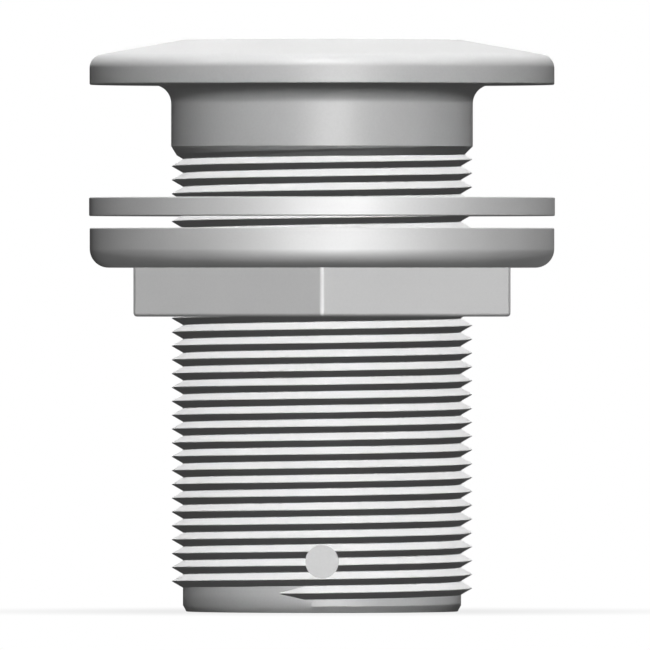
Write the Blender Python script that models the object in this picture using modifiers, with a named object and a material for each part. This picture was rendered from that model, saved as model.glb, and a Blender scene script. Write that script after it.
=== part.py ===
"""Thru-hull fitting: a domed flange on a threaded barrel, a flat washer and a collar nut.

The barrel stands on its open end at the origin, with the flange at the top, +Z.
"""
from math import ceil, cos, degrees, floor, pi, radians, sin, tan

import bmesh
import bpy
from mathutils import Matrix

MM = 0.001

# Thread: 1 1/2 inch straight pipe thread, right-handed.
THREADS_PER_INCH = 11.5
THREAD_RADIUS = 23.95 * MM
CREST_FLAT = 0.10 * MM
ROOT_FLAT = 0.10 * MM
FLANK_ANGLE = radians(30)
FIRST_CREST_Z = 3.19 * MM
RUN_IN_STEPS = 2

# Barrel, plain shank and bore.
BARREL_LENGTH = 72.40 * MM
BARREL_WALL = 3.20 * MM
END_ROUND = 0.60 * MM
SHANK_STEP = 0.14 * MM
SHANK_LENGTH = 9.82 * MM
PAD_RADIUS = 2.65 * MM
PAD_HEIGHT = 8.14 * MM
PAD_SINK = 0.10 * MM

# Domed flange.
FLANGE_WIDTH = 13.03 * MM
FLANGE_THICKNESS = 7.15 * MM
FLANGE_FILLET = 3.00 * MM
DOME_WIDTH = 14.82 * MM
DOME_SLOPE = radians(10)
RIM_ROUND = 2.20 * MM
LIP_ROUND = 1.20 * MM

# Two lugs inside the bore, for a step wrench.
LUG_WIDTH = 4.00 * MM
LUG_RISE = 2.60 * MM
LUG_LENGTH = 14.00 * MM
LUG_DEPTH = 12.00 * MM
LUG_ROUND = 0.60 * MM

# Washer, and the room between it and the flange.
HULL_GAP = 17.95 * MM
WASHER_THICKNESS = 3.00 * MM
WASHER_WIDTH = 12.60 * MM
WASHER_CLEARANCE = 0.51 * MM

# Nut: a hexagon with a round collar above it, in one piece.
WASHER_TO_NUT = 1.90 * MM
COLLAR_HEIGHT = 6.35 * MM
COLLAR_LEDGE = 2.46 * MM
COLLAR_ROUND = 2.20 * MM
HEX_HEIGHT = 7.80 * MM
HEX_ROUND = 0.50 * MM
NUT_WALL = 5.60 * MM
NUT_ENTRY = 0.30 * MM
THREAD_CLEARANCE = 0.45 * MM

# Facets round a turn and along a quarter round, and how solids are joined.
TURN_STEPS = 28
ROUND_STEPS = 4
HEX_SIDES = 6
SINK = 0.30 * MM
FOOT_GAP = 0.02 * MM
MERGE = 0.01 * MM
SHARP_ANGLE = radians(30)

# Derived sizes.
PITCH = 25.4 * MM / THREADS_PER_INCH
THREAD_START_Z = FIRST_CREST_Z - PITCH * RUN_IN_STEPS / TURN_STEPS
THREAD_DEPTH = (PITCH - CREST_FLAT - ROOT_FLAT) / 2 / tan(FLANK_ANGLE)
ROOT_RADIUS = THREAD_RADIUS - THREAD_DEPTH
BORE_RADIUS = ROOT_RADIUS - BARREL_WALL
SHANK_RADIUS = THREAD_RADIUS + SHANK_STEP
SHANK_Z = BARREL_LENGTH + SHANK_RADIUS - ROOT_RADIUS
FLANGE_Z = SHANK_Z + SHANK_LENGTH
CROWN_Z = FLANGE_Z + FLANGE_THICKNESS
FLANGE_RADIUS = SHANK_RADIUS + FLANGE_WIDTH
WASHER_BORE = SHANK_RADIUS + WASHER_CLEARANCE
WASHER_TOP = FLANGE_Z - HULL_GAP
WASHER_Z = WASHER_TOP - WASHER_THICKNESS
NUT_TOP = WASHER_Z - WASHER_TO_NUT
COLLAR_Z = NUT_TOP - COLLAR_HEIGHT
HEX_Z = COLLAR_Z - HEX_HEIGHT
NUT_BORE = ROOT_RADIUS + THREAD_CLEARANCE
NUT_THREAD_RADIUS = THREAD_RADIUS + THREAD_CLEARANCE
HEX_CORNER = (NUT_THREAD_RADIUS + NUT_WALL) / cos(pi / HEX_SIDES)
COLLAR_RADIUS = HEX_CORNER + COLLAR_LEDGE


def arc(centre, radius, start, end):
    """Points of an arc in the (radius, height) plane, between two angles in degrees."""
    turns = [radians(start + (end - start) * i / ROUND_STEPS) for i in range(ROUND_STEPS + 1)]
    return [(centre[0] + radius * cos(turn), centre[1] + radius * sin(turn)) for turn in turns]


def nylon(name, grey, roughness):
    material = bpy.data.materials.new(name)
    material.use_nodes = True
    shader = material.node_tree.nodes["Principled BSDF"]
    shader.inputs["Base Color"].default_value = (grey, grey, grey, 1)
    shader.inputs["Roughness"].default_value = roughness
    shader.inputs["Metallic"].default_value = 0
    return material


def new_collection(name):
    collection = bpy.data.collections.new(name)
    bpy.context.scene.collection.children.link(collection)
    return collection


def place(piece, name, collection):
    """Names an object and puts it in its collection; a cutter is drawn as wire only."""
    piece.name = name
    for other in piece.users_collection:
        other.objects.unlink(piece)
    collection.objects.link(piece)
    if collection is cutters:
        piece.hide_render = True
        piece.display_type = "WIRE"
    return piece


def turned(name, outline, collection, closed=True):
    """Turns an outline about Z. It runs down the outer side, and closed makes it a ring."""
    mesh = bpy.data.meshes.new(name)
    edges = [(i, i + 1) for i in range(len(outline) - 1)]
    if closed:
        edges.append((len(outline) - 1, 0))
    mesh.from_pydata([(r, 0, z) for r, z in outline], edges, [])
    piece = place(bpy.data.objects.new(name, mesh), name, collection)
    screw = piece.modifiers.new("turn", "SCREW")
    screw.steps = TURN_STEPS
    screw.render_steps = TURN_STEPS
    screw.use_merge_vertices = True
    screw.merge_threshold = MERGE
    return piece


def wound_ridge(name, first_turn, last_turn, clearance=0):
    """The thread's V ridge, wound upwards about Z and grown outwards by the clearance.

    Its first full crest is at the front, -Y, and whole turns keep every piece of it in step.
    """
    half_crest = CREST_FLAT / 2
    half_foot = (PITCH - FOOT_GAP) / 2
    foot_radius = ROOT_RADIUS - (ROOT_FLAT - FOOT_GAP) / 2 / tan(FLANK_ANGLE)
    section = [
        (THREAD_RADIUS, half_crest), (THREAD_RADIUS, -half_crest),
        (foot_radius, -half_foot), (foot_radius - SINK, -half_foot),
        (foot_radius - SINK, half_foot), (foot_radius, half_foot),
    ]
    turns = last_turn - first_turn
    form = bmesh.new()
    corners = [form.verts.new((r + clearance, 0, z)) for r, z in section]
    end = form.faces.new(corners)
    bmesh.ops.spin(
        form, geom=[end, *end.edges, *corners], cent=(0, 0, 0), axis=(0, 0, 1),
        angle=2 * pi * turns, steps=TURN_STEPS * turns, dvec=(0, 0, PITCH / TURN_STEPS))
    if first_turn == 0:
        # The crest climbs out of the barrel over the first few steps.
        form.verts.ensure_lookup_table()
        for step in range(RUN_IN_STEPS):
            height = foot_radius + (THREAD_RADIUS - foot_radius) * step / RUN_IN_STEPS
            first = step * len(section)
            for crest in form.verts[first:first + 2]:
                crest.co.xy *= height / THREAD_RADIUS
    bmesh.ops.recalc_face_normals(form, faces=form.faces)
    mesh = bpy.data.meshes.new(name)
    form.to_mesh(mesh)
    form.free()
    ridge = place(bpy.data.objects.new(name, mesh), name, cutters)
    ridge.location.z = THREAD_START_Z + first_turn * PITCH
    ridge.rotation_euler.z = -pi / 2 - 2 * pi * RUN_IN_STEPS / TURN_STEPS
    return ridge


def rounded(piece, width, segments):
    bevel = piece.modifiers.new("round", "BEVEL")
    bevel.width = width
    bevel.segments = segments


def combine(piece, other, operation):
    boolean = piece.modifiers.new(other.name, "BOOLEAN")
    boolean.operation = operation
    boolean.object = other


def finish(piece, material):
    """Closes the hair-thin steps that joining leaves, then gives the piece its material."""
    weld = piece.modifiers.new("weld", "WELD")
    weld.merge_threshold = MERGE
    piece.data.materials.append(material)
    piece.data.shade_smooth()
    piece.data.set_sharp_from_angle(angle=SHARP_ANGLE)


def bore_lug(name, side):
    """A rib along the bore's wall, sunk half way into it; side is -1 at the front, 1 at the back."""
    foot = BORE_RADIUS + BARREL_WALL / 2
    tip = BORE_RADIUS - LUG_RISE
    bpy.ops.mesh.primitive_cube_add(
        size=1, location=(0, side * (foot + tip) / 2, CROWN_Z - LUG_DEPTH - LUG_LENGTH / 2))
    lug = place(bpy.context.object, name, cutters)
    lug.data.transform(Matrix.Diagonal((LUG_WIDTH, foot - tip, LUG_LENGTH, 1)))
    rounded(lug, LUG_ROUND, 2)
    return lug


def flanged_barrel():
    """Domed flange, plain shank and threaded barrel, moulded in one with the bore through them."""
    dome_edge = CROWN_Z - DOME_WIDTH * tan(DOME_SLOPE)
    rim_top = dome_edge - RIM_ROUND * tan((pi / 2 - DOME_SLOPE) / 2)
    outline = [
        (FLANGE_RADIUS - DOME_WIDTH, CROWN_Z),
        *arc((FLANGE_RADIUS - RIM_ROUND, rim_top), RIM_ROUND, 90 - degrees(DOME_SLOPE), 0),
        (FLANGE_RADIUS, FLANGE_Z),
        *arc((SHANK_RADIUS + FLANGE_FILLET, FLANGE_Z - FLANGE_FILLET), FLANGE_FILLET, 90, 180),
        (SHANK_RADIUS, SHANK_Z),
        (ROOT_RADIUS, BARREL_LENGTH),
        *arc((ROOT_RADIUS - END_ROUND, END_ROUND), END_ROUND, 0, -90),
        (BORE_RADIUS, 0),
        *arc((BORE_RADIUS + LIP_ROUND, CROWN_Z - LIP_ROUND), LIP_ROUND, 180, 90),
    ]
    barrel = turned("flanged_barrel", outline, parts)

    last_turn = ceil((SHANK_Z + PITCH / 2 - THREAD_START_Z) / PITCH)
    combine(barrel, wound_ridge("barrel_ridge", 0, last_turn), "UNION")

    # A round pad where the ridges are cut back to the barrel.
    pad_face = ROOT_RADIUS - PAD_SINK
    pad_depth = 2 * (THREAD_RADIUS - pad_face)
    bpy.ops.mesh.primitive_cylinder_add(
        vertices=TURN_STEPS, radius=PAD_RADIUS, depth=pad_depth,
        location=(0, -pad_face - pad_depth / 2, PAD_HEIGHT), rotation=(pi / 2, 0, 0))
    combine(barrel, place(bpy.context.object, "pad_cutter", cutters), "DIFFERENCE")

    combine(barrel, bore_lug("front_lug", -1), "UNION")
    combine(barrel, bore_lug("back_lug", 1), "UNION")
    finish(barrel, nylon("barrel_nylon", 0.62, 0.45))


def flat_washer():
    """A plain flat ring that slides along the barrel and spreads the nut's load."""
    outside = WASHER_BORE + WASHER_WIDTH
    outline = [
        (outside, WASHER_TOP), (outside, WASHER_Z),
        (WASHER_BORE, WASHER_Z), (WASHER_BORE, WASHER_TOP),
    ]
    finish(turned("flat_washer", outline, parts), nylon("washer_nylon", 0.66, 0.45))


def collar_nut():
    """A hexagon with a round collar above it, in one piece, tapped to run on the barrel."""
    outline = [
        (0, NUT_TOP),
        (COLLAR_RADIUS, NUT_TOP),
        *arc((COLLAR_RADIUS - COLLAR_ROUND, COLLAR_Z + COLLAR_ROUND), COLLAR_ROUND, 0, -90),
        (0, COLLAR_Z),
    ]
    nut = turned("collar_nut", outline, parts, closed=False)

    hex_top = COLLAR_Z + COLLAR_ROUND
    bpy.ops.mesh.primitive_cylinder_add(
        vertices=HEX_SIDES, radius=HEX_CORNER, depth=hex_top - HEX_Z,
        location=(0, 0, (HEX_Z + hex_top) / 2))
    hexagon = place(bpy.context.object, "hexagon", cutters)
    rounded(hexagon, HEX_ROUND, 3)
    combine(nut, hexagon, "UNION")

    # The bore before tapping, opened at both mouths so that the thread starts cleanly.
    mouth = NUT_THREAD_RADIUS + NUT_ENTRY
    taper = mouth - NUT_BORE
    bore = [
        (0, NUT_TOP + SINK), (mouth + SINK, NUT_TOP + SINK),
        (NUT_BORE, NUT_TOP - taper), (NUT_BORE, HEX_Z + taper),
        (mouth + SINK, HEX_Z - SINK), (0, HEX_Z - SINK),
    ]
    combine(nut, turned("nut_bore", bore, cutters, closed=False), "DIFFERENCE")
    first_turn = floor((HEX_Z - THREAD_START_Z) / PITCH) - 1
    last_turn = ceil((NUT_TOP - THREAD_START_Z) / PITCH) + 1
    tap = wound_ridge("nut_tap", first_turn, last_turn, THREAD_CLEARANCE)
    combine(nut, tap, "DIFFERENCE")
    finish(nut, nylon("nut_nylon", 0.62, 0.45))


for leftover in list(bpy.data.objects):
    bpy.data.objects.remove(leftover)
parts = new_collection("thru_hull_fitting")
cutters = new_collection("cutters")
flanged_barrel()
flat_washer()
collar_nut()
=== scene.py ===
from math import cos, pi, radians, sin, tan

import bmesh
import bpy
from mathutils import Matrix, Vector


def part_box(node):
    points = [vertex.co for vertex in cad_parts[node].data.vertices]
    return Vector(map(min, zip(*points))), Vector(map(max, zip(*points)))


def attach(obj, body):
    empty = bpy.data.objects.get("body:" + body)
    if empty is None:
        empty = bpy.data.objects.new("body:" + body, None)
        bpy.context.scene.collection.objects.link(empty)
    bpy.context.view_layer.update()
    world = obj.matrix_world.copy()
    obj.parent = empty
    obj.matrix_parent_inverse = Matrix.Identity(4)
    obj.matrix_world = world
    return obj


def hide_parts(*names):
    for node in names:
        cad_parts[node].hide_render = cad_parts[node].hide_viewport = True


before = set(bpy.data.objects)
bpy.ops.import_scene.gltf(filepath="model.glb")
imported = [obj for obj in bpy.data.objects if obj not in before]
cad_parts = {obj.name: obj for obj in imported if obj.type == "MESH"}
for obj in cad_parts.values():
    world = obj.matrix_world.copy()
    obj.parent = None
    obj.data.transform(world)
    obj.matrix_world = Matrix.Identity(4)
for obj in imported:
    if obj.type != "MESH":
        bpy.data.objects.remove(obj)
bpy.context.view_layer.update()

# ------------------------------------------------------------------------------ Flanged barrel
# The body of the fitting: domed flange, plain shank and threaded barrel in one moulding of light
# grey glass-filled nylon, with the bore straight through it. The flange beds on the outside of the
# hull, and the V thread is moulded in, its ridge climbing out of the wall just above the open end.
MM = 0.001
barrel_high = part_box("flanged_barrel")[1]

PITCH = 25.4 * MM / 11.5
FLANK_ANGLE = radians(30)
CREST_RADIUS = 23.95 * MM
CREST_FLAT = 0.10 * MM
ROOT_FLAT = 0.10 * MM
ROOT_RADIUS = CREST_RADIUS - (PITCH - CREST_FLAT - ROOT_FLAT) / 2 / tan(FLANK_ANGLE)
FRONT = radians(-90)
FRONT_CREST = 3.19 * MM
RIDGE_START = radians(-108)
RIDGE_RUN_IN = radians(10.8)

# The run-out and its fade are counted in turns from the ridge's start.
RIDGE_RUN_OUT = 31.3
RUN_OUT_FADE = 0.5
RUN_OUT_SLOPE = 0.62
NO_RUN_OUT = 1000

# Rows on each flank: more of them where the ridge starts and where it runs out.
PLAIN_ROWS = 2
RUN_IN_ROWS = 10
RUN_OUT_ROWS = 12

FLANGE_RADIUS = barrel_high.x
FLANGE_THICKNESS = 7.15 * MM
FLANGE_FILLET = 3.00 * MM
FLANGE_Z = barrel_high.z - FLANGE_THICKNESS
DOME_WIDTH = 14.82 * MM
DOME_DEGREES = 10
RIM_ROUND = 2.20 * MM
LIP_ROUND = 1.20 * MM
SHANK_RADIUS = 24.09 * MM
SHANK_Z = 74.28 * MM
BARREL_WALL = 3.20 * MM
BORE_RADIUS = ROOT_RADIUS - BARREL_WALL
END_HEIGHT = 1.00 * MM
END_TAPER = 0.42 * MM
EDGE_ROUND = 0.25 * MM

TURN_COLUMNS = 200
EDGE_STEPS = 4
FILLET_STEPS = 12
WELD = 0.001 * MM
SHARP_ANGLE = radians(30)


def arc(centre, radius, start, end, steps=8):
    """Points of an arc in the (radius, height) plane, between two angles in degrees."""
    turns = [radians(start + (end - start) * i / steps) for i in range(steps + 1)]
    return [(centre[0] + radius * cos(turn), centre[1] + radius * sin(turn)) for turn in turns]


def turned_shell(name, outline, closed=False):
    """Turns an outline about Z. It runs down the outer side and up the inner one."""
    mesh = bpy.data.meshes.new(name)
    edges = [(i, i + 1) for i in range(len(outline) - 1)]
    if closed:
        edges.append((len(outline) - 1, 0))
    mesh.from_pydata([(r, 0, z) for r, z in outline], edges, [])
    shell = bpy.data.objects.new(name, mesh)
    bpy.context.scene.collection.objects.link(shell)
    screw = shell.modifiers.new("turn", "SCREW")
    screw.steps = TURN_COLUMNS
    screw.render_steps = TURN_COLUMNS
    screw.use_merge_vertices = True
    screw.merge_threshold = WELD
    return shell


def thread_tree():
    """A node tree that winds a V thread up a sleeve and trims it flat at both ends."""
    tree = bpy.data.node_groups.new("wound_thread", "GeometryNodeTree")
    tree.interface.new_socket("Sleeve", in_out="OUTPUT", socket_type="NodeSocketGeometry")
    for size in (
            "Columns", "Flank Steps", "Pitch", "Crest Radius", "Crest Flat", "Root Radius", "Root Flat",
            "Start Angle", "Start Height", "Run In", "Run Out", "Run Out Fade", "Run Out Slope", "Bottom",
            "Bottom Radius", "Top", "Top Radius"):
        tree.interface.new_socket(size, in_out="INPUT", socket_type="NodeSocketFloat")
    tree.interface.new_socket("Nylon", in_out="INPUT", socket_type="NodeSocketMaterial")
    given = tree.nodes.new("NodeGroupInput").outputs

    def node(kind, *values):
        made = tree.nodes.new(kind)
        for socket, value in zip(made.inputs, values):
            if value is not None:
                tree.links.new(value, socket)
        return made

    def math(operation, *values):
        made = tree.nodes.new("ShaderNodeMath")
        made.operation = operation
        for socket, value in zip(made.inputs, values):
            if isinstance(value, bpy.types.NodeSocket):
                tree.links.new(value, socket)
            else:
                socket.default_value = value
        return made.outputs[0]

    def share(value):
        return math("MINIMUM", math("MAXIMUM", value, 0), 1)

    # Each turn has two groups of rows: down from one crest, then up to the next one.
    group = math("ADD", given["Flank Steps"], 1)
    below = math("DIVIDE", math("SUBTRACT", given["Bottom"], given["Start Height"]), given["Pitch"])
    first = math("SUBTRACT", math("FLOOR", below), 2)
    tall = math("DIVIDE", math("SUBTRACT", given["Top"], given["Bottom"]), given["Pitch"])
    turns = math("ADD", math("CEIL", tall), 4)
    rows = math("ADD", math("MULTIPLY", math("MULTIPLY", turns, 2), group), 1)
    grid = node("GeometryNodeMeshGrid", None, None, math("ADD", given["Columns"], 1), rows)
    index = node("GeometryNodeInputIndex").outputs[0]
    column = math("FLOOR", math("DIVIDE", math("ADD", index, 0.5), rows))
    row = math("SUBTRACT", index, math("MULTIPLY", column, rows))
    turn = math("DIVIDE", column, given["Columns"])
    half_turn = math("FLOOR", math("DIVIDE", math("ADD", row, 0.5), group))
    step = math("DIVIDE", math("SUBTRACT", row, math("MULTIPLY", half_turn, group)), given["Flank Steps"])
    whole_turn = math("FLOOR", math("MULTIPLY", math("ADD", half_turn, 0.5), 0.5))
    rising = math("SUBTRACT", half_turn, math("MULTIPLY", whole_turn, 2))

    # A flank's rows cover only as much of it as stands clear where the ridge runs in. They are
    # measured in turns from the crest that they belong to.
    half_crest = math("DIVIDE", math("MULTIPLY", given["Crest Flat"], 0.5), given["Pitch"])
    half_root = math("DIVIDE", math("MULTIPLY", given["Root Flat"], 0.5), given["Pitch"])
    flank = math("SUBTRACT", math("SUBTRACT", 0.5, half_crest), half_root)
    crest = math("ADD", math("ADD", whole_turn, first), rising)
    grown = share(math("DIVIDE", math("ADD", crest, turn), given["Run In"]))
    far = math("SUBTRACT", math("ADD", step, rising), math("MULTIPLY", math("MULTIPLY", step, rising), 2))
    far = math("ADD", half_crest, math("MULTIPLY", math("MULTIPLY", far, flank), grown))
    side = math("SUBTRACT", 1, math("MULTIPLY", rising, 2))
    wound = math("ADD", crest, math("MULTIPLY", far, side))

    # The height of a row climbs one pitch a turn, and is held between the sleeve's two ends.
    height = math("MULTIPLY", given["Pitch"], math("ADD", wound, turn))
    height = math("ADD", given["Start Height"], height)
    height = math("MINIMUM", math("MAXIMUM", height, given["Bottom"]), given["Top"])
    climb = math("DIVIDE", math("SUBTRACT", height, given["Start Height"]), given["Pitch"])
    wound = math("SUBTRACT", climb, turn)
    last = math("FLOOR", math("SUBTRACT", math("ADD", given["Run Out"], 1), turn))
    ridge = math("MINIMUM", math("ROUND", wound), last)
    climbed = math("ADD", ridge, turn)

    # The ridge falls off its crest down both flanks. Where it runs out, the upper flank fills up and
    # the crest sinks into a slope under the shank.
    depth = math("SUBTRACT", given["Crest Radius"], given["Root Radius"])
    steepness = math("DIVIDE", depth, flank)
    off_crest = math("SUBTRACT", math("ABSOLUTE", math("SUBTRACT", wound, ridge)), half_crest)
    fall = math("MULTIPLY", math("MAXIMUM", off_crest, 0), steepness)
    past = math("SUBTRACT", climbed, given["Run Out"])
    out = share(math("DIVIDE", past, given["Run Out Fade"]))
    above = math("GREATER_THAN", wound, ridge)
    fall = math("MULTIPLY", fall, math("SUBTRACT", 1, math("MULTIPLY", above, out)))
    grown = share(math("DIVIDE", climbed, given["Run In"]))
    lift = math("MAXIMUM", math("SUBTRACT", math("MULTIPLY", depth, grown), fall), 0)
    radius = math("ADD", given["Root Radius"], lift)
    under_top = math("SUBTRACT", given["Top"], height)
    slope = math("SUBTRACT", given["Top Radius"], math("MULTIPLY", under_top, given["Run Out Slope"]))
    slope = math("ADD", slope, math("MULTIPLY", math("SUBTRACT", 1, out), depth))
    full_ridge = math("MULTIPLY", math("LESS_THAN", past, 0), given["Crest Radius"])
    radius = math("MINIMUM", radius, math("MAXIMUM", slope, full_ridge))

    # Both ends open out, or close in, as 45 degree cones.
    top_cone = math("SUBTRACT", given["Top Radius"], under_top)
    bottom_cone = math("SUBTRACT", given["Bottom Radius"], math("SUBTRACT", height, given["Bottom"]))
    radius = math("MAXIMUM", radius, math("MAXIMUM", top_cone, bottom_cone))

    angle = math("ADD", given["Start Angle"], math("MULTIPLY", turn, 2 * pi))
    across = math("MULTIPLY", radius, math("COSINE", angle))
    along = math("MULTIPLY", radius, math("SINE", angle))
    point = node("ShaderNodeCombineXYZ", across, along, height).outputs[0]
    wound_grid = node("GeometryNodeSetPosition", grid.outputs[0], None, point).outputs[0]
    merged = node("GeometryNodeMergeByDistance", wound_grid)
    merged.inputs["Distance"].default_value = WELD
    smooth = node("GeometryNodeSetShadeSmooth", merged.outputs[0]).outputs[0]
    coated = node("GeometryNodeSetMaterial", smooth, None, given["Nylon"]).outputs[0]
    node("NodeGroupOutput", node("GeometryNodeRealizeInstances", coated).outputs[0])
    return tree


def plain_mesh(thing):
    """An object's evaluated mesh, on its own; the object and its modifiers go."""
    graph = bpy.context.evaluated_depsgraph_get()
    mesh = bpy.data.meshes.new_from_object(thing.evaluated_get(graph))
    bpy.data.objects.remove(thing)
    return mesh


def wound_thread(nylon, flank_steps, ends, end_radii=(0, 0), clearance=0, run_out=NO_RUN_OUT):
    """The surface of the barrel's thread between two heights, grown outwards by a clearance."""
    sizes = {
        "Columns": TURN_COLUMNS,
        "Flank Steps": flank_steps,
        "Pitch": PITCH,
        "Crest Radius": CREST_RADIUS + clearance,
        "Crest Flat": CREST_FLAT,
        "Root Radius": ROOT_RADIUS + clearance,
        "Root Flat": ROOT_FLAT,
        "Start Angle": RIDGE_START,
        "Start Height": FRONT_CREST + PITCH * (RIDGE_START - FRONT) / (2 * pi),
        "Run In": RIDGE_RUN_IN / (2 * pi),
        "Run Out": run_out,
        "Run Out Fade": RUN_OUT_FADE,
        "Run Out Slope": RUN_OUT_SLOPE,
        "Bottom": ends[0],
        "Bottom Radius": end_radii[0],
        "Top": ends[1],
        "Top Radius": end_radii[1],
        "Nylon": nylon,
    }
    sleeve = bpy.data.objects.new("thread", bpy.data.meshes.new("thread"))
    bpy.context.scene.collection.objects.link(sleeve)
    winding = sleeve.modifiers.new("winding", "NODES")
    winding.node_group = thread
    for socket in thread.interface.items_tree:
        if socket.in_out == "INPUT":
            value = sizes[socket.name]
            winding[socket.identifier] = value if socket.name == "Nylon" else float(value)
    return plain_mesh(sleeve)


def welded(name, meshes):
    """One object from several open shells whose rims meet."""
    form = bmesh.new()
    for mesh in meshes:
        form.from_mesh(mesh)
        bpy.data.meshes.remove(mesh)
    bmesh.ops.remove_doubles(form, verts=form.verts, dist=WELD)
    mesh = bpy.data.meshes.new(name)
    form.to_mesh(mesh)
    form.free()
    piece = bpy.data.objects.new(name, mesh)
    bpy.context.scene.collection.objects.link(piece)
    return piece


def settle(piece, modifier):
    """Makes a modifier's result the piece's own mesh."""
    graph = bpy.context.evaluated_depsgraph_get()
    mesh = bpy.data.meshes.new_from_object(piece.evaluated_get(graph))
    piece.modifiers.remove(modifier)
    piece.data = mesh


def combine(piece, other, operation):
    """Joins or cuts a piece with another closed shape, which is used up."""
    boolean = piece.modifiers.new("combine", "BOOLEAN")
    boolean.operation = operation
    boolean.object = other
    settle(piece, boolean)
    bpy.data.objects.remove(other)


def moulded(piece, nylon):
    """Smooth faces, crisp edges and the piece's own plastic. It throws no light on other pieces."""
    form = bmesh.new()
    form.from_mesh(piece.data)
    bmesh.ops.remove_doubles(form, verts=form.verts, dist=WELD)
    form.to_mesh(piece.data)
    form.free()
    piece.data.materials.clear()
    piece.data.materials.append(nylon)
    piece.data.shade_smooth()
    piece.data.set_sharp_from_angle(angle=SHARP_ANGLE)
    weighted = piece.modifiers.new("flats", "WEIGHTED_NORMAL")
    weighted.keep_sharp = True
    settle(piece, weighted)
    piece.visible_diffuse = False
    piece.visible_glossy = False


SHEEN_IOR = 2.2
MOTTLE_SCALE = 90
FIBRE_SCALE = 2600
GRAIN_SCALE = 3500
NOISE_LOW = 0.3
NOISE_HIGH = 0.7
GRAIN_STRENGTH = 0.25
GRAIN_DEPTH = 0.01 * MM
ROUGHNESS_SPREAD = 0.03
TONE_LOW = 0.985
TONE_HIGH = 1.015


def grey_nylon(name, grey, roughness, specular):
    """Satin moulded nylon: a fine spark-eroded grain, faint mottling and short glass fibres."""
    nylon = bpy.data.materials.new(name)
    nylon.use_nodes = True
    nodes, links = nylon.node_tree.nodes, nylon.node_tree.links
    shader = nodes["Principled BSDF"]
    shader.inputs["Specular IOR Level"].default_value = specular
    shader.inputs["IOR"].default_value = SHEEN_IOR
    place = nodes.new("ShaderNodeTexCoord")

    def noise(scale, detail):
        made = nodes.new("ShaderNodeTexNoise")
        made.inputs["Scale"].default_value = scale
        made.inputs["Detail"].default_value = detail
        links.new(place.outputs["Object"], made.inputs["Vector"])
        return made.outputs[0]

    def spread(value, low, high):
        made = nodes.new("ShaderNodeMapRange")
        made.inputs["From Min"].default_value = NOISE_LOW
        made.inputs["From Max"].default_value = NOISE_HIGH
        made.inputs["To Min"].default_value = low
        made.inputs["To Max"].default_value = high
        links.new(value, made.inputs["Value"])
        return made.outputs[0]

    mottle = noise(MOTTLE_SCALE, 3)
    fibre = noise(FIBRE_SCALE, 2)
    tone = nodes.new("ShaderNodeMath")
    tone.operation = "MULTIPLY"
    links.new(spread(mottle, grey * TONE_LOW, grey * TONE_HIGH), tone.inputs[0])
    links.new(spread(fibre, TONE_LOW, TONE_HIGH), tone.inputs[1])
    links.new(tone.outputs[0], shader.inputs["Base Color"])
    worn = spread(mottle, roughness - ROUGHNESS_SPREAD, roughness + ROUGHNESS_SPREAD)
    links.new(worn, shader.inputs["Roughness"])
    grain = nodes.new("ShaderNodeBump")
    grain.inputs["Strength"].default_value = GRAIN_STRENGTH
    grain.inputs["Distance"].default_value = GRAIN_DEPTH
    links.new(noise(GRAIN_SCALE, 4), grain.inputs["Height"])
    links.new(grain.outputs[0], shader.inputs["Normal"])
    return nylon


barrel_nylon = grey_nylon("barrel_nylon", grey=0.775, roughness=0.49, specular=0.10)
thread = thread_tree()
run_in_top = 7 * MM
run_out_bottom = SHANK_Z - 2 * PITCH
sleeves = [
    wound_thread(barrel_nylon, RUN_IN_ROWS, (END_HEIGHT, run_in_top)),
    wound_thread(barrel_nylon, PLAIN_ROWS, (run_in_top, run_out_bottom)),
    wound_thread(
        barrel_nylon, RUN_OUT_ROWS, (run_out_bottom, SHANK_Z), (0, SHANK_RADIUS), run_out=RIDGE_RUN_OUT),
]
rim_degrees = 90 - DOME_DEGREES
dome_edge = barrel_high.z - DOME_WIDTH * tan(radians(DOME_DEGREES))
rim_top = dome_edge - RIM_ROUND * tan(radians(rim_degrees / 2))
outline = [
    (ROOT_RADIUS, END_HEIGHT),
    *arc((ROOT_RADIUS - END_TAPER - EDGE_ROUND, EDGE_ROUND), EDGE_ROUND, 0, -90, EDGE_STEPS),
    *arc((BORE_RADIUS + EDGE_ROUND, EDGE_ROUND), EDGE_ROUND, -90, -180, EDGE_STEPS),
    *arc((BORE_RADIUS + LIP_ROUND, barrel_high.z - LIP_ROUND), LIP_ROUND, 180, 90),
    (FLANGE_RADIUS - DOME_WIDTH, barrel_high.z),
    *arc((FLANGE_RADIUS - RIM_ROUND, rim_top), RIM_ROUND, rim_degrees, 0),
    *arc((FLANGE_RADIUS - EDGE_ROUND, FLANGE_Z + EDGE_ROUND), EDGE_ROUND, 0, -90, EDGE_STEPS),
    *arc((SHANK_RADIUS + FLANGE_FILLET, FLANGE_Z - FLANGE_FILLET), FLANGE_FILLET, 90, 180, FILLET_STEPS),
    (SHANK_RADIUS, SHANK_Z),
]
barrel = welded("barrel_moulding", [*sleeves, plain_mesh(turned_shell("barrel_shell", outline))])

# A round flat pad is cut into the thread at the front, just through its root.
PAD_RADIUS = 2.65 * MM
PAD_HEIGHT = 8.14 * MM
PAD_SINK = 0.10 * MM
pad_face = ROOT_RADIUS - PAD_SINK
pad_depth = 2 * (CREST_RADIUS - pad_face)
bpy.ops.mesh.primitive_cylinder_add(
    vertices=96, radius=PAD_RADIUS, depth=pad_depth,
    location=(0, -pad_face - pad_depth / 2, PAD_HEIGHT), rotation=(pi / 2, 0, 0))
combine(barrel, bpy.context.object, "DIFFERENCE")

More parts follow.
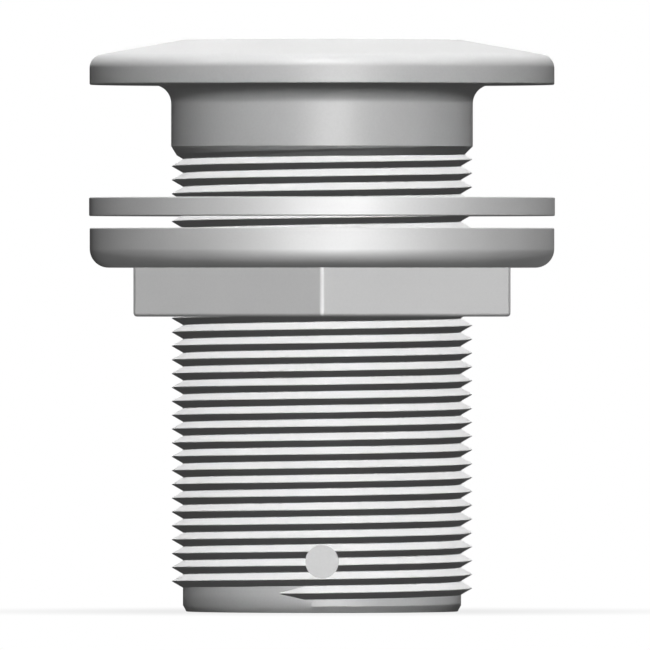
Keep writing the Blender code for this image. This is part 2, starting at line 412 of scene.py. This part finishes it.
# Two lugs inside the bore are for a step wrench. Their roots are sunk in the wall.
LUG_WIDTH = 4.0 * MM
LUG_LENGTH = 14.0 * MM
LUG_REACH = 2.6 * MM
LUG_SINK = 1.6 * MM
LUG_DROP = 12.0 * MM
LUG_ROUND = 0.6 * MM
lug_tip = BORE_RADIUS - LUG_REACH
lug_root = BORE_RADIUS + LUG_SINK
lug_height = barrel_high.z - LUG_DROP - LUG_LENGTH / 2
for side in (-1, 1):
    bpy.ops.mesh.primitive_cube_add(size=1, location=(0, side * (lug_root + lug_tip) / 2, lug_height))
    lug = bpy.context.object
    lug.scale = (LUG_WIDTH, lug_root - lug_tip, LUG_LENGTH)
    bpy.ops.object.transform_apply(location=False, rotation=False)
    rounding = lug.modifiers.new("round", "BEVEL")
    rounding.width = LUG_ROUND
    rounding.segments = 5
    combine(barrel, lug, "UNION")
moulded(barrel, barrel_nylon)
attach(barrel, "barrel")
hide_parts("flanged_barrel")

# ------------------------------------------------------------------------------ Flat washer
# A plain ring of the same nylon, cut flat on both faces, that spreads the nut's load on the hull's
# inner skin. It is loose on the barrel, and its edges are barely broken.
washer_low, washer_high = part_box("flat_washer")

WASHER_BORE = 24.60 * MM
WASHER_EDGE = 0.20 * MM
washer_nylon = grey_nylon("washer_nylon", grey=0.80, roughness=0.69, specular=1.0)
outer = washer_high.x - WASHER_EDGE
inner = WASHER_BORE + WASHER_EDGE
upper = washer_high.z - WASHER_EDGE
lower = washer_low.z + WASHER_EDGE
outline = [
    *arc((outer, upper), WASHER_EDGE, 90, 0, EDGE_STEPS),
    *arc((outer, lower), WASHER_EDGE, 0, -90, EDGE_STEPS),
    *arc((inner, lower), WASHER_EDGE, -90, -180, EDGE_STEPS),
    *arc((inner, upper), WASHER_EDGE, 180, 90, EDGE_STEPS),
]
washer = welded("washer_ring", [plain_mesh(turned_shell("washer_ring", outline, closed=True))])
moulded(washer, washer_nylon)
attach(washer, "washer")
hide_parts("flat_washer")

# ------------------------------------------------------------------------------ Collar nut
# One moulding with a 60 mm hexagon below, for the wrench, and a round collar above it that bears on
# the washer. Its bore is tapped for the barrel's thread and opened out at both mouths.
nut_low, nut_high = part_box("collar_nut")

THREAD_CLEARANCE = 0.45 * MM
COLLAR_HEIGHT = 6.35 * MM
COLLAR_ROUND = 3.00 * MM
COLLAR_STEPS = 14
COLLAR_EDGE = 0.20 * MM
HEX_ROUND = 0.55 * MM
HEX_FLATS = 60 * MM
HEX_CORNER = HEX_FLATS / 2 / cos(pi / 6)
MOUTH_STEP = 0.30 * MM
MOUTH_RADIUS = CREST_RADIUS + THREAD_CLEARANCE + MOUTH_STEP
nut_nylon = grey_nylon("nut_nylon", grey=0.75, roughness=0.69, specular=0.95)
collar_low = nut_high.z - COLLAR_HEIGHT
outline = [
    (0, nut_high.z),
    *arc((nut_high.x - COLLAR_EDGE, nut_high.z - COLLAR_EDGE), COLLAR_EDGE, 90, 0, EDGE_STEPS),
    *arc((nut_high.x - COLLAR_ROUND, collar_low + COLLAR_ROUND), COLLAR_ROUND, 0, -90, COLLAR_STEPS),
    (0, collar_low),
]
nut = welded("nut_moulding", [plain_mesh(turned_shell("collar", outline))])
hex_top = collar_low + COLLAR_ROUND
bpy.ops.mesh.primitive_cylinder_add(
    vertices=6, radius=HEX_CORNER, depth=hex_top - nut_low.z, location=(0, 0, (hex_top + nut_low.z) / 2))
hexagon = bpy.context.object
rounding = hexagon.modifiers.new("round", "BEVEL")
rounding.width = HEX_ROUND
rounding.segments = 5
combine(nut, hexagon, "UNION")

# The tap is the barrel's own thread, grown by the clearance and a little taller than the nut.
overrun = 0.5 * MM
tap_ends = (nut_low.z - overrun, nut_high.z + overrun)
tap_mouths = (MOUTH_RADIUS + overrun, MOUTH_RADIUS + overrun)
tap = welded("tap", [wound_thread(nut_nylon, PLAIN_ROWS, tap_ends, tap_mouths, THREAD_CLEARANCE)])
form = bmesh.new()
form.from_mesh(tap.data)
bmesh.ops.holes_fill(form, edges=form.edges)
bmesh.ops.recalc_face_normals(form, faces=form.faces)
form.to_mesh(tap.data)
form.free()
combine(nut, tap, "DIFFERENCE")
moulded(nut, nut_nylon)
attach(nut, "nut")
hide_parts("collar_nut")

# ------------------------------------------------------------------------------ Table
# A plain white table top. It glows evenly, so that it stays pale, with only a soft painted shadow where
# the fitting stands, and it throws no light back on the fitting.
TABLE_RADIUS = 1.5
PAINTED_SHADE_INNER = 10 * MM
PAINTED_SHADE_OUTER = 85 * MM
PAINTED_SHADE_TONE = 0.82
bpy.ops.mesh.primitive_circle_add(vertices=96, radius=TABLE_RADIUS, fill_type="NGON")
table = bpy.context.object
table.name = "table"
paper = bpy.data.materials.new("white_table")
paper.use_nodes = True
nodes, links = paper.node_tree.nodes, paper.node_tree.links
shader = nodes["Principled BSDF"]
shader.inputs["Base Color"].default_value = (0, 0, 0, 1)
shader.inputs["Roughness"].default_value = 0.9
shader.inputs["Specular IOR Level"].default_value = 0
shader.inputs["Emission Color"].default_value = (1, 1, 1, 1)
place = nodes.new("ShaderNodeTexCoord")
reach = nodes.new("ShaderNodeVectorMath")
reach.operation = "LENGTH"
links.new(place.outputs["Object"], reach.inputs[0])
# Painted shadow: the glow dims smoothly towards the fitting's axis, down to the shade tone near the
# middle.
shade = nodes.new("ShaderNodeMapRange")
shade.interpolation_type = "SMOOTHSTEP"
shade.inputs["From Min"].default_value = PAINTED_SHADE_INNER
shade.inputs["From Max"].default_value = PAINTED_SHADE_OUTER
shade.inputs["To Min"].default_value = PAINTED_SHADE_TONE
links.new(reach.outputs["Value"], shade.inputs["Value"])
links.new(shade.outputs[0], shader.inputs["Emission Strength"])
table.data.materials.append(paper)
table.visible_diffuse = False
table.visible_glossy = False

# ------------------------------------------------------------------------------ Lamps and camera
# Soft lamps in front, behind and overhead light the fitting, all from above, so that down-facing
# flanks stay in shade. The gloss lamps only show as sheen: a level one on every side face, and three
# higher ones on the flange's rim. The camera is level, with a long lens.
DIM_ROOM = 0.056
LAMP_ANGLE = 5
world = bpy.data.worlds.new("studio")
bpy.context.scene.world = world
world.use_nodes = True
nodes, links = world.node_tree.nodes, world.node_tree.links
nodes.clear()
seen = nodes.new("ShaderNodeBackground")
seen.inputs["Color"].default_value = (1, 1, 1, 1)
dim = nodes.new("ShaderNodeBackground")
dim.inputs["Color"].default_value = (1, 1, 1, 1)
dim.inputs["Strength"].default_value = DIM_ROOM
path = nodes.new("ShaderNodeLightPath")
mixed = nodes.new("ShaderNodeMixShader")
output = nodes.new("ShaderNodeOutputWorld")
links.new(path.outputs["Is Camera Ray"], mixed.inputs[0])
links.new(dim.outputs[0], mixed.inputs[1])
links.new(seen.outputs[0], mixed.inputs[2])
links.new(mixed.outputs[0], output.inputs[0])


def sun(name, azimuth, elevation, strength, diffuse=True, glossy=True):
    """A soft distant lamp without a shadow: azimuth 0 shines from the front, and 90 from the right."""
    light = bpy.data.lights.new(name, "SUN")
    light.energy = strength
    light.angle = radians(LAMP_ANGLE)
    light.use_shadow = False
    lamp = bpy.data.objects.new(name, light)
    bpy.context.scene.collection.objects.link(lamp)
    lamp.rotation_euler = (radians(90 - elevation), 0, radians(azimuth))
    lamp.visible_diffuse = diffuse
    lamp.visible_glossy = glossy
    return lamp


sun("key", 4, 40, 1.17, glossy=False)
sun("key_low", 0, 20, 0.22, glossy=False)
sun("overhead", 18, 77, 1.98, glossy=False)
sun("back_key", 184, 50, 0.78, glossy=False)
sun("back_low", 184, 20, 0.70, glossy=False)
sun("gloss_panel", 8.8, 0, 5.2, diffuse=False)

# The rim lamps shine on the barrel alone.
rim_lit = bpy.data.collections.new("rim_lit")
rim_lit.objects.link(barrel)
for azimuth, elevation, strength in ((0, 40, 8), (-60, 36, 3.0), (60, 36, 2.4)):
    rim_lamp = sun("rim_gloss", azimuth, elevation, strength, diffuse=False)
    rim_lamp.light_linking.receiver_collection = rim_lit

VIEW_WIDTH = 103.8 * MM
CAMERA_RISE = 5 * MM
LONG_LENS = 1650
aim = Vector((0.48 * MM, 0, 45.75 * MM))
lens = bpy.data.cameras.new("camera")
lens.lens = LONG_LENS
lens.sensor_width = 36
distance = VIEW_WIDTH * lens.lens / lens.sensor_width
lens.clip_start = 0.1
lens.clip_end = 10
camera = bpy.data.objects.new("camera", lens)
bpy.context.scene.collection.objects.link(camera)
camera.location = aim + Vector((0, -distance, CAMERA_RISE))
camera.rotation_euler = (pi / 2 - CAMERA_RISE / distance, 0, 0)
bpy.context.scene.camera = camera
bpy.context.scene.view_settings.view_transform = "Standard"
